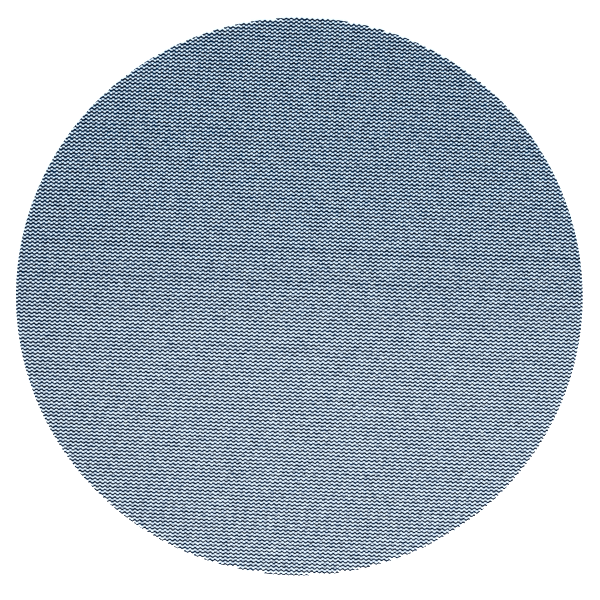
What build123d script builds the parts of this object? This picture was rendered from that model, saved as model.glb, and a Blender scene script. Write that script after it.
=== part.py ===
from build123d import *
import os
from math import atan2, ceil, degrees, hypot, sqrt

# A mesh sanding disc that lies on its looped back with the abrasive face up.
# It is one piece of knitted net, cut round. Zigzag ribs carry the grain, and
# thin threads at their feet join each rib to the next, with open gaps between,
# through which the dust is drawn off. Millimetres, +Z up, the origin at the
# centre of the looped back, and the ribs running along X.

# Driving dimensions
disc_diameter = 150.0
net_thickness = 1.0
knitted_rib_pitch = 1.0
knitted_wave_length = 1.375
knitted_wave_height = 0.55
knitted_rib_width = 0.46
knitted_rib_top_width = 0.2
knitted_thread_width = 0.18
thread_height = 0.35

# The real net has about 150 ribs. Each modelled rib stands for this many, at
# the same multiple of its pitch, wave and width, and the thickness stays real.
ribs_in_one = 5
rib_pitch = ribs_in_one * knitted_rib_pitch
wave_length = ribs_in_one * knitted_wave_length
wave_height = ribs_in_one * knitted_wave_height
rib_width = ribs_in_one * knitted_rib_width
rib_top_width = ribs_in_one * knitted_rib_top_width
thread_width = ribs_in_one * knitted_thread_width

disc_radius = disc_diameter / 2
half_wave = wave_length / 2
crest_height = wave_height / 2

# From one row to the next the threads step along by this share of the row, so
# that they are spread over the net and don't line up.
thread_step = 0.382


def rib_offsets():
    """Where the middle line of each rib lies across the disc, evenly about its centre."""
    count = round(disc_diameter / rib_pitch)
    return [(i - (count - 1) / 2) * rib_pitch for i in range(count)]


def bend(i):
    """The i-th bend of the zigzag: crests at even bends and valleys at odd ones."""
    side = 1 if i % 2 == 0 else -1
    return (i + 0.5) * half_wave, side * crest_height


def rib_section(x, y):
    """The rib's section across X: a broad foot, sloped sides and a narrower top."""
    return [
        (x, y - rib_width / 2, 0),
        (x, y + rib_width / 2, 0),
        (x, y + rib_top_width / 2, net_thickness),
        (x, y - rib_top_width / 2, net_thickness),
    ]


def rib(offset):
    """One zigzag rib, long enough to pass the rim at both ends."""
    bends = ceil(disc_radius / half_wave) + 1
    sections = [rib_section(x, y + offset) for x, y in map(bend, range(-bends, bends))]
    faces = [Face(Wire.make_polygon(end)) for end in (sections[0], sections[-1])]
    for near, far in zip(sections, sections[1:]):
        for i, j in ((0, 1), (1, 2), (2, 3), (3, 0)):
            faces.append(Face(Wire.make_polygon([near[i], near[j], far[j], far[i]])))
    return Solid(Shell(faces))


def thread(offset, crest, valley):
    """A straight thread from a crest of the rib at this offset to a valley of the next rib."""
    x0, y0 = bend(crest)
    x1, y1 = bend(valley)
    rise = rib_pitch + y1 - y0
    length = hypot(x1 - x0, rise)
    place = Pos((x0 + x1) / 2, offset + y0 + rise / 2, thread_height / 2)
    turn = Rot(0, 0, degrees(atan2(rise, x1 - x0)))
    return place * turn * Box(length, thread_width, thread_height)


def thread_pairs(row, lower, upper):
    """The pairs that spread from one crest to both valleys beside it, one or two to a row."""
    reach = sqrt(disc_radius**2 - max(lower**2, upper**2)) - wave_length
    pairs = 1 + row % 2
    threads = []
    for k in range(pairs):
        share = (row * thread_step + k / pairs) % 1
        crest = 2 * round((2 * share - 1) * reach / wave_length)
        threads += [thread(lower, crest, crest + side) for side in (-1, 1)]
    return threads


def net():
    """The ribs and threads joined, cut round, without the crumbs cut off at the rim."""
    offsets = rib_offsets()
    blank = Pos(0, 0, net_thickness / 2) * Cylinder(disc_radius, net_thickness)
    ribs = [rib(offset) & blank for offset in offsets]
    threads = []
    for row, (lower, upper) in enumerate(zip(offsets, offsets[1:])):
        threads += thread_pairs(row, lower, upper)
    joined = ribs[0].fuse(*ribs[1:], *threads)
    whole = max(joined.solids(), key=lambda solid: solid.volume)
    return whole.clean()


os.makedirs("parts", exist_ok=True)
export_step(net(), "parts/sanding_net.step")
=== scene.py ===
from math import pi, radians, tan, tanh

import bpy
import numpy as np
from mathutils import Euler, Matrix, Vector


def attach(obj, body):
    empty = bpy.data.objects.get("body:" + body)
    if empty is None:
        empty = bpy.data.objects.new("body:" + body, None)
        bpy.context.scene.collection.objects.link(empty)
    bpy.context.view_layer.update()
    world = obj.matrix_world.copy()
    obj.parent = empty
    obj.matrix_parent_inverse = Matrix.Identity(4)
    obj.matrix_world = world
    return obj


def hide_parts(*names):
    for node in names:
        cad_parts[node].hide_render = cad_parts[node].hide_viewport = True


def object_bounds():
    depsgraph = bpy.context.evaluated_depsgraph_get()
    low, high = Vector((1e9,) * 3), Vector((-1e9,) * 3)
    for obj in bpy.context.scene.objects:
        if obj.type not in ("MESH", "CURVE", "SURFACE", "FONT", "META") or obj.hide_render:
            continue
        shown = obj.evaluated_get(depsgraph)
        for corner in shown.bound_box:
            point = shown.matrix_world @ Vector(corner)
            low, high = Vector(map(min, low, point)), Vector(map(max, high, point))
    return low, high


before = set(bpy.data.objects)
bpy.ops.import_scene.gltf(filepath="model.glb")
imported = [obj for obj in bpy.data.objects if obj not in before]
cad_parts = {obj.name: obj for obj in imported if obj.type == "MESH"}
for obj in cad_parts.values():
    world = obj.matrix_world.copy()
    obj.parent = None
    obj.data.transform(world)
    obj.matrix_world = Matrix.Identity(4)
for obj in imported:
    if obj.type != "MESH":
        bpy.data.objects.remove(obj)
cad_low, cad_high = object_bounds()

# A knitted net sanding disc at its real count of ribs. Metres; the disc lies
# on the floor at z = 0 with its ribs along X and its grain side up.

MM = 0.001

# The disc
RADIUS = (cad_high.x - cad_low.x) / 2
NET_TOP = cad_high.z
RIB_COUNT = 151
RIB_PITCH = 0.9942 * MM
WAVE_LENGTH = 1.3763 * MM
KNIT_LEAN = radians(1.1)

# Waves on each side of the middle, enough to pass the rim
WAVES = int(RADIUS / WAVE_LENGTH) + 2

# A rib's line: level for a short run at each crest and valley, straight between.
# The near half (-Y) of the net was pulled a little more open than the far half.
CREST_NEAR = 0.17 * MM
CREST_FAR = 0.185 * MM
LEVEL_RUN = 0.2 * WAVE_LENGTH
RIB_WIDTH_NEAR = 0.52 * MM
RIB_WIDTH_FAR = 0.588 * MM
CHANGE_MIDDLE = 8 * MM
CHANGE_RUN = 26 * MM

# The rib's section. Its corners are shares of half its width and of its height,
# from the top down one side to the foot and up the other.
RIB_HEIGHT = 0.62 * MM
RIB_ACROSS = (-0.55, -1, -0.5, 0.5, 1, 0.55)
RIB_UP = (0, -0.38, -1, -1, -0.38, 0)

# The cross yarn, which has a diamond section
YARN_WIDTH_NEAR = 0.18 * MM
YARN_WIDTH_FAR = 0.3 * MM
YARN_HEIGHT = 0.13 * MM
YARN_MIDDLE = 0.5 * MM

# A back loop. It starts at this share of the rib's height below its top, leans
# aside by no more than its lean, and its power below 1 makes a blunt arch.
LOOP_WIDTH = 0.09 * MM
LOOP_LEAN = 0.16 * MM
LOOP_START = 0.9
LOOP_POWER = 0.6
LOOP_POINTS = 4

# How many points of the rib's line a loop spans, where the first one stands in
# even and odd rows, and how many points on the next one stands
LOOP_SPAN = 3
LOOP_FIRST = (2, 6)
LOOP_STEP = 8

# How far the knit lies towards +X and +Y of the middle of the round cut
KNIT_SHIFT = (0.35 * MM, -0.18 * MM)

# Where the round cut ends things. A rib that runs beside the rim is cut thinner
# until its middle line is this far past it. Yarns and back loops stop a little
# short of the rim, and a yarn beside it stops this margin sooner, as its rib does.
RIB_PAST = 0.15 * MM
YARN_SHORT = 0.15 * MM
YARN_MARGIN = 0.3 * MM
LOOP_SHORT = 0.5 * MM

# The fewest points along a rib or yarn that are worth building
FEWEST_POINTS = 3

# How the net was drawn out of true. Its ribs are spread apart in the middle of
# the disc and bow towards +Y between there and the near and far rims, and at
# those rims they are pulled along, closed up and turned.
RIB_SPREAD = 0.34 * MM
RIB_BOW = 0.235 * MM
RIM_PULL = 0.29 * MM
RIM_CLOSING = 0.51 * MM
RIM_TURN = 0.50 * MM

# How uneven the knit is from one stitch to the next, and the seeds for it
RIB_SEED, YARN_SEED, LOOP_SEED = 21, 22, 23
JITTER = 0.012 * MM
TOP_UNEVENNESS = 0.02 * MM
CREST_UNEVENNESS = 0.10
RIB_UNEVENNESS = 0.08

# The meshes that the ribs and the cross yarns are shared out over
RIB_BANDS = 5
YARN_BANDS = 2

# Where the ribs are broader and the net looks darker: a few ribs just beyond the
# middle, as faint lines, and all of them little by little towards the left rim
BROAD_RIBS = (80, 88, 89)
BROADER = 1.07
BROADER_AT_LEFT = 0.07


def place(x, y):
    """Moves points of the even knit to where the leaning, drawn one has them."""
    u, v = x / RADIUS, y / RADIUS
    out = v**2
    between = 4 * out * (1 - out)
    east = KNIT_SHIFT[0] + y * tan(KNIT_LEAN) + out * (RIM_PULL - RIM_CLOSING * u)
    spread = RIB_SPREAD * v * (1 - u**2 - v**2)
    north = KNIT_SHIFT[1] + spread + between * RIB_BOW - out * RIM_TURN * u
    return x + east, y + north


def rib_offset(row):
    """The Y of a rib's middle line in the even knit."""
    return (row - (RIB_COUNT - 1) / 2) * RIB_PITCH


def from_near(near, far, row):
    """A size at this rib, which turns from the near half's to the far half's about the middle."""
    share = (1 + tanh((rib_offset(row) - CHANGE_MIDDLE) / CHANGE_RUN)) / 2
    return near + (far - near) * share


def crest_height(row):
    return from_near(CREST_NEAR, CREST_FAR, row)


def run_within(x, y, limit, margin=0.0):
    """The run of a line about x = 0 that is within this radius by a margin in Y, cut off there."""
    reach = np.hypot(x, np.abs(y) + margin)
    middle = int(np.argmin(np.abs(x)))
    if reach[middle] > limit:
        return x[:0], y[:0]
    outside = np.flatnonzero(reach > limit)
    first = outside[outside < middle][-1]
    last = outside[outside > middle][0]
    for end, inner in ((first, first + 1), (last, last - 1)):
        share = (limit - reach[inner]) / (reach[end] - reach[inner])
        x[end] = x[inner] + (x[end] - x[inner]) * share
        y[end] = y[inner] + (y[end] - y[inner]) * share
    return x[first:last + 1], y[first:last + 1]


def upright_rings(x, y, z, across, up):
    """Rings that stand square to X, of shape (rings, corners, 3)."""
    wide = y[:, None] + across
    return np.stack([np.broadcast_to(x[:, None], wide.shape), wide, z[:, None] + up], -1)


def tube(line, across, up):
    """Rings of one section square to a line in space, of shape (rings, corners, 3)."""
    along = np.gradient(line, axis=0)
    along /= np.linalg.norm(along, axis=1, keepdims=True)
    side = np.cross([0.0, 0.0, 1.0], along)
    side /= np.linalg.norm(side, axis=1, keepdims=True)
    over = np.cross(along, side)
    return line[:, None] + across[:, None] * side[:, None] + up[:, None] * over[:, None]


def cut_round(points):
    """Draws what lies past the rim in to it, as the round cut leaves it."""
    reach = np.hypot(points[..., 0], points[..., 1])
    points[..., :2] *= np.minimum(1, RADIUS / reach)[..., None]
    return points


def add_object(name, data):
    """A new object of this data in the scene."""
    made = bpy.data.objects.new(name, data)
    bpy.context.scene.collection.objects.link(made)
    return made


class Mesh:
    """Gathers tubes, closed at both ends, for one Blender object."""

    def __init__(self):
        self.points = []
        self.faces = []
        self.count = 0

    def add(self, rings):
        n, sides = rings.shape[:2]
        first = self.count + np.arange(n - 1)[:, None] * sides
        side = np.arange(sides)
        after = (side + 1) % sides
        quads = np.stack([first + side, first + after, first + sides + after, first + sides + side], -1)
        self.faces += quads.reshape(-1, 4).tolist()
        self.faces.append((self.count + side[::-1]).tolist())
        self.faces.append((self.count + (n - 1) * sides + side).tolist())
        self.points.append(rings.reshape(-1, 3))
        self.count += n * sides

    def to_object(self, name, material, slot):
        mesh = bpy.data.meshes.new(name)
        mesh.from_pydata(np.concatenate(self.points).tolist(), [], self.faces)
        mesh.shade_smooth()
        mesh.materials.append(material)
        piece = add_object(name, mesh)
        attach(piece, "root")
        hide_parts("sanding_net")


def rib_points(row, rng):
    """The middle line of a rib, four points to a wave: both ends of each level run."""
    wave = np.arange(-WAVES, WAVES + 1)[:, None]
    share = LEVEL_RUN / WAVE_LENGTH / 2
    x = ((wave + np.array([-share, share, 0.5 - share, 0.5 + share])) * WAVE_LENGTH).ravel()
    height = crest_height(row) * (1 + CREST_UNEVENNESS * rng.standard_normal((len(wave), 2)))
    side = (height * [1, -1]).repeat(2, axis=1).ravel()
    x, y = place(x, rib_offset(row) + side)
    x += JITTER * rng.standard_normal(len(x))
    y += JITTER * rng.standard_normal(len(y))
    return x, y


def rib_section(row, x, rng):
    """The corners of the ring at each x, a little uneven."""
    half = from_near(RIB_WIDTH_NEAR, RIB_WIDTH_FAR, row) / 2
    if row in BROAD_RIBS:
        half *= BROADER
    across = half * np.array(RIB_ACROSS)
    up = RIB_HEIGHT * np.array(RIB_UP)
    swell = 1 + BROADER_AT_LEFT * np.clip(-x / RADIUS, 0, 1) ** 2
    swell += RIB_UNEVENNESS * rng.standard_normal(len(x))
    jitter = JITTER * rng.standard_normal((2, len(x), len(up)))
    return across * swell[:, None] + jitter[0], up + jitter[1]


def make_ribs(material):
    rng = np.random.default_rng(RIB_SEED)
    bands = [Mesh() for _ in range(RIB_BANDS)]
    for row in range(RIB_COUNT):
        x, y = rib_points(row, rng)
        x, y = run_within(x, y, RADIUS, -RIB_PAST)
        if len(x) < FEWEST_POINTS:
            continue
        across, up = rib_section(row, x, rng)
        top = NET_TOP - TOP_UNEVENNESS * (1 + rng.random(len(x)))
        bands[row * RIB_BANDS // RIB_COUNT].add(cut_round(upright_rings(x, y, top, across, up)))
    for i, band in enumerate(bands):
        band.to_object(f"grain_ribs_{i + 1}", material, "grain_coated_net")


def make_cross_yarns(material):
    """Between two ribs a yarn runs from each crest to the next valley and back."""
    rng = np.random.default_rng(YARN_SEED)
    across = np.array([-0.5, 0, 0.5, 0])
    up = YARN_HEIGHT / 2 * np.array([0, -1, 0, 1])
    bands = [Mesh() for _ in range(YARN_BANDS)]
    half_wave = np.arange(-2 * WAVES, 2 * WAVES + 1)
    for row in range(RIB_COUNT - 1):
        crests = rib_offset(row) + crest_height(row)
        valleys = rib_offset(row + 1) - crest_height(row + 1)
        x, y = place(half_wave * WAVE_LENGTH / 2, np.where(half_wave % 2 == 0, crests, valleys))
        x, y = run_within(x, y, RADIUS - YARN_SHORT, YARN_MARGIN)
        if len(x) < FEWEST_POINTS:
            continue
        x += JITTER * rng.standard_normal(len(x))
        z = np.full(len(x), YARN_MIDDLE)
        width = from_near(YARN_WIDTH_NEAR, YARN_WIDTH_FAR, row)
        bands[row * YARN_BANDS // RIB_COUNT].add(upright_rings(x, y, z, width * across, up))
    for i, band in enumerate(bands):
        band.to_object(f"cross_yarns_{i + 1}", material, "pale_yarn")


def make_back_loops(material):
    """Small arches of yarn that hang from every second wave of a rib to the floor."""
    rng = np.random.default_rng(LOOP_SEED)
    loops = Mesh()
    half = LOOP_WIDTH / 2
    across = half * np.array([-1, 1, 0])
    up = half * np.array([-1, -1, 1])
    turn = np.linspace(0, pi, LOOP_POINTS)
    share = (1 - np.cos(turn)) / 2
    high = NET_TOP - LOOP_START * RIB_HEIGHT
    z = high - (high - half) * np.sin(turn) ** LOOP_POWER
    for row in range(RIB_COUNT):
        x, y = rib_points(row, rng)
        x, y = run_within(x, y, RADIUS - LOOP_SHORT)
        for i in range(LOOP_FIRST[row % 2], len(x) - LOOP_SPAN - 1, LOOP_STEP):
            lean = LOOP_LEAN * rng.uniform(-1, 1) * np.sin(turn)
            along = x[i] + (x[i + LOOP_SPAN] - x[i]) * share
            aside = y[i] + (y[i + LOOP_SPAN] - y[i]) * share + lean
            loops.add(tube(np.stack([along, aside, z], -1), across, up))
    loops.to_object("back_loops", material, "pale_yarn")


def node(tree, kind, **settings):
    """A new node, with its properties set by name."""
    made = tree.nodes.new(kind)
    for name, value in settings.items():
        setattr(made, name, value)
    return made


def new_tree(owner, kind):
    """The emptied node tree of a material or world, and its new output."""
    owner.use_nodes = True
    tree = owner.node_tree
    tree.nodes.clear()
    return tree, node(tree, kind)


def new_material(name):
    material = bpy.data.materials.new(name)
    tree, output = new_tree(material, "ShaderNodeOutputMaterial")
    shader = node(tree, "ShaderNodeBsdfPrincipled")
    tree.links.new(shader.outputs["BSDF"], output.inputs["Surface"])
    return material, tree, shader


def object_point(tree):
    return node(tree, "ShaderNodeTexCoord").outputs["Object"]


def coordinate(tree, where, axis):
    made = node(tree, "ShaderNodeSeparateXYZ")
    tree.links.new(where, made.inputs["Vector"])
    return made.outputs[axis]


def noise(tree, where, size, detail=3.0):
    """A noise with features of about this size, in metres."""
    made = node(tree, "ShaderNodeTexNoise")
    made.inputs["Scale"].default_value = 1 / size
    made.inputs["Detail"].default_value = detail
    tree.links.new(where, made.inputs["Vector"])
    return made.outputs["Fac"]


def ramp(tree, value, positions, colours):
    """A colour ramp with each (r, g, b) colour at its position."""
    made = node(tree, "ShaderNodeValToRGB")
    elements = made.color_ramp.elements
    for element, end in zip(elements, (0, -1)):
        element.position = positions[end]
        element.color = colours[end] + (1,)
    for position, colour in zip(positions[1:-1], colours[1:-1]):
        elements.new(position).color = colour + (1,)
    tree.links.new(value, made.inputs["Fac"])
    return made.outputs["Color"]


def map_range(tree, value, start, end, low=0.0, high=1.0, clamp=True):
    made = node(tree, "ShaderNodeMapRange", clamp=clamp)
    for name, number in zip(("From Min", "From Max", "To Min", "To Max"), (start, end, low, high)):
        made.inputs[name].default_value = number
    tree.links.new(value, made.inputs["Value"])
    return made.outputs["Result"]


def math_node(tree, operation, *values):
    """A Math node of these sockets and plain numbers."""
    made = node(tree, "ShaderNodeMath", operation=operation)
    for value, socket in zip(values, made.inputs):
        if isinstance(value, (int, float)):
            socket.default_value = value
        else:
            tree.links.new(value, socket)
    return made.outputs["Value"]


def painted_light_far_share(tree, where):
    """Nought on the near half and one on the far half, as from_near has it: the mask that blends the
    colours' painted light on the near half into painted shade on the far half.
    """
    y = coordinate(tree, where, "Y")
    run = map_range(tree, y, CHANGE_MIDDLE - CHANGE_RUN, CHANGE_MIDDLE + CHANGE_RUN, -1, 1, clamp=False)
    return map_range(tree, math_node(tree, "TANH", run), -1, 1)


# The colour sockets of a Mix node
MIX_FIRST, MIX_SECOND, MIX_RESULT = 6, 7, 2


def mix_colour(tree, share, first, second):
    made = node(tree, "ShaderNodeMix", data_type="RGBA")
    tree.links.new(share, made.inputs["Factor"])
    tree.links.new(first, made.inputs[MIX_FIRST])
    tree.links.new(second, made.inputs[MIX_SECOND])
    return made.outputs[MIX_RESULT]


def bump(tree, height, distance, strength):
    made = node(tree, "ShaderNodeBump")
    made.inputs["Strength"].default_value = strength
    made.inputs["Distance"].default_value = distance
    tree.links.new(height, made.inputs["Height"])
    return made.outputs["Normal"]


# The coat of grain. Its tone is this share of each grain's own plus that of the
# patches, and it fades out between two heights at a ragged lower edge.
GRAIN_SIZE = 0.09 * MM
GRAIN_SHARE = 0.55
GRAIN_BUMP = (0.03 * MM, 0.5)
PATCH_SIZE = 1.2 * MM
COAT_TONES = (0.45, 0.75, 1.0)
# Painted light: the near half's coat colours carry a painted sheen, a faint neutral veil as if lit
# more, and the far half's are darker and bluer as painted shade. The two blend about the middle.
COAT_FAR_PAINTED_SHADE = ((0.0001, 0.001, 0.003), (0.0001, 0.005, 0.020), (0.003, 0.04, 0.11))
COAT_NEAR_PAINTED_SHEEN = ((0.0002, 0.0005, 0.002), (0.001, 0.004, 0.012), (0.01, 0.04, 0.10))
COAT_EDGE = (0.88 * MM, 0.99 * MM)
COAT_RAGGEDNESS = 0.08 * MM
COAT_ROUGHNESS = 0.5
COAT_SHEEN = 0.02

# The bare yarn of the ribs, under the coat
RIB_YARN_TONES = (0.35, 0.65)
RIB_YARN = ((0.010, 0.070, 0.19), (0.02, 0.16, 0.42))

# The yarns between the ribs and of the loops
YARN_TONES = (0.3, 0.7)
# Painted light: the near half's yarn colours are paler, as painted light, and the far half's are deeper
# blue, as painted shade. The two blend about the middle.
YARN_FAR_PAINTED_SHADE = ((0.008, 0.37, 0.80), (0.03, 0.62, 0.98))
YARN_NEAR_PAINTED_LIGHT = ((0.52, 0.60, 0.88), (0.74, 0.80, 0.99))
YARN_BUMP = (0.02 * MM, 0.4)
YARN_ROUGHNESS = 0.8

# The filaments of every yarn
FIBRE_SIZE = 0.08 * MM
FIBRE_DETAIL = 4.0


def grain_material():
    """Ribs of blue yarn whose tops are coated with near-black blue grain. The coat has a painted sheen
    on the near half and painted shade on the far half.
    """
    material, tree, shader = new_material("blue_grain")
    where = object_point(tree)
    grains = node(tree, "ShaderNodeTexVoronoi")
    grains.inputs["Scale"].default_value = 1 / GRAIN_SIZE
    tree.links.new(where, grains.inputs["Vector"])
    patches = noise(tree, where, PATCH_SIZE)
    fibres = noise(tree, where, FIBRE_SIZE, FIBRE_DETAIL)
    single = math_node(tree, "MULTIPLY", grains.outputs["Color"], GRAIN_SHARE)
    tone = math_node(tree, "ADD", single, patches)
    # A lit and a shaded copy of the coat, blended from the near half to the far half: painted sheen and
    # painted shade
    lit_and_shaded_coats = [ramp(tree, tone, COAT_TONES, colours) for colours in (COAT_NEAR_PAINTED_SHEEN, COAT_FAR_PAINTED_SHADE)]
    coat = mix_colour(tree, painted_light_far_share(tree, where), *lit_and_shaded_coats)
    bare = ramp(tree, fibres, RIB_YARN_TONES, RIB_YARN)
    ragged = math_node(tree, "MULTIPLY", fibres, COAT_RAGGEDNESS)
    height = math_node(tree, "ADD", coordinate(tree, where, "Z"), ragged)
    coated = map_range(tree, height, *COAT_EDGE)
    tree.links.new(mix_colour(tree, coated, bare, coat), shader.inputs["Base Color"])
    tree.links.new(bump(tree, grains.outputs["Distance"], *GRAIN_BUMP), shader.inputs["Normal"])
    shader.inputs["Roughness"].default_value = COAT_ROUGHNESS
    shader.inputs["Specular IOR Level"].default_value = COAT_SHEEN
    return material


def yarn_material():
    """Pale blue yarn of fine filaments, painted paler on the near half as if lit more and deeper blue
    on the far half as painted shade.
    """
    material, tree, shader = new_material("pale_yarn")
    where = object_point(tree)
    fibres = noise(tree, where, FIBRE_SIZE, FIBRE_DETAIL)
    # A lit and a shaded copy of the yarn colour, blended from the near half to the far half
    lit_and_shaded_yarns = [ramp(tree, fibres, YARN_TONES, colours) for colours in (YARN_NEAR_PAINTED_LIGHT, YARN_FAR_PAINTED_SHADE)]
    tree.links.new(mix_colour(tree, painted_light_far_share(tree, where), *lit_and_shaded_yarns), shader.inputs["Base Color"])
    tree.links.new(bump(tree, fibres, *YARN_BUMP), shader.inputs["Normal"])
    shader.inputs["Roughness"].default_value = YARN_ROUGHNESS
    return material


def shown_directly(tree):
    """One for camera, glossy and transmission rays, and nought for the rays that light things."""
    path = node(tree, "ShaderNodeLightPath").outputs
    seen = math_node(tree, "MAXIMUM", path["Is Camera Ray"], path["Is Glossy Ray"])
    return math_node(tree, "MAXIMUM", seen, path["Is Transmission Ray"])


# The floor glows only for the rays that show it, and its own colour takes the net's shadow. Its glow is
# ice blue, a painted blue tint of the shade under the net, while in the open the light on its warm
# colour brings it up to white. It lies just below the loops, so that the two don't meet.
FLOOR_COLOUR = (0.86, 0.80, 0.76, 1)
FLOOR_GLOW_AND_BLUE_SHADE = (0.74, 0.89, 0.99, 1)
FLOOR_REACH = 8.0
FLOOR_Z = -0.01 * MM


def make_floor():
    material = bpy.data.materials.new("white_floor")
    tree, output = new_tree(material, "ShaderNodeOutputMaterial")
    link = tree.links.new
    paper = node(tree, "ShaderNodeBsdfDiffuse")
    paper.inputs["Color"].default_value = FLOOR_COLOUR
    glow = node(tree, "ShaderNodeEmission")
    # The ice blue glow paints a blue tint into the floor's shade under the net
    glow.inputs["Color"].default_value = FLOOR_GLOW_AND_BLUE_SHADE
    link(shown_directly(tree), glow.inputs["Strength"])
    both = node(tree, "ShaderNodeAddShader")
    link(paper.outputs["BSDF"], both.inputs[0])
    link(glow.outputs["Emission"], both.inputs[1])
    link(both.outputs["Shader"], output.inputs["Surface"])
    mesh = bpy.data.meshes.new("floor")
    sides = ((-1, -1), (1, -1), (1, 1), (-1, 1))
    corners = [(x * FLOOR_REACH, y * FLOOR_REACH, FLOOR_Z) for x, y in sides]
    mesh.from_pydata(corners, [], [(0, 1, 2, 3)])
    mesh.materials.append(material)
    add_object("floor", mesh)


WORLD_STRENGTH = 0.45
WORLD_COLOUR = (0.82, 0.92, 1.0, 1)
WHITE = (1, 1, 1, 1)


def make_world():
    """A pale sky that lights the net and shows as plain white."""
    world = bpy.data.worlds.new("studio")
    bpy.context.scene.world = world
    tree, output = new_tree(world, "ShaderNodeOutputWorld")
    choose = node(tree, "ShaderNodeMixShader")
    tree.links.new(shown_directly(tree), choose.inputs["Fac"])
    for colour, strength, socket in ((WORLD_COLOUR, WORLD_STRENGTH, 1), (WHITE, 1.0, 2)):
        sky = node(tree, "ShaderNodeBackground")
        sky.inputs["Color"].default_value = colour
        sky.inputs["Strength"].default_value = strength
        tree.links.new(sky.outputs["Background"], choose.inputs[socket])
    tree.links.new(choose.outputs["Shader"], output.inputs["Surface"])


# A soft lamp that faces the middle of the disc
LAMP_PLACE = (0.08, -0.42, 0.60)
LAMP_SIZE = 0.35
LAMP_POWER = 4.0
LAMP_COLOUR = (1.0, 0.93, 0.87)


def make_lamp():
    lamp = bpy.data.lights.new("key", "AREA")
    lamp.shape = "DISK"
    lamp.size = LAMP_SIZE
    lamp.energy = LAMP_POWER
    lamp.color = LAMP_COLOUR
    holder = add_object("key", lamp)
    holder.location = LAMP_PLACE
    holder.rotation_euler = (-Vector(LAMP_PLACE)).to_track_quat("-Z", "Y").to_euler()
    holder.visible_camera = False


# The camera looks down on the disc, a little from the far side, and is turned
# so that the ribs drop to the right. Its lens and sensor are in millimetres.
CAMERA_DISTANCE = 1.09
CAMERA_TILT = radians(10.2)
CAMERA_ROLL = radians(2.13)
CAMERA_LENS = 247.1
SENSOR_WIDTH = 36.0
CAMERA_CLIP_END = 50.0
AIM = Vector((0.21 * MM, -0.15 * MM, 0))


def make_camera():
    data = bpy.data.cameras.new("camera")
    data.lens = CAMERA_LENS
    data.sensor_width = SENSOR_WIDTH
    data.clip_end = CAMERA_CLIP_END
    camera = add_object("camera", data)
    turn = Euler((-CAMERA_TILT, 0, 0)).to_quaternion() @ Euler((0, 0, CAMERA_ROLL)).to_quaternion()
    camera.location = AIM + turn @ Vector((0, 0, CAMERA_DISTANCE))
    camera.rotation_euler = turn.to_euler()
    bpy.context.scene.camera = camera


# The width of the pixel filter, for stitches as sharp as the photograph's
PIXEL_FILTER = 1.2

grain = grain_material()
yarn = yarn_material()
make_ribs(grain)
make_cross_yarns(yarn)
make_back_loops(yarn)
make_floor()
make_world()
make_lamp()
make_camera()
bpy.context.scene.view_settings.view_transform = "Standard"
bpy.context.scene.cycles.use_denoising = False
bpy.context.scene.cycles.filter_width = PIXEL_FILTER
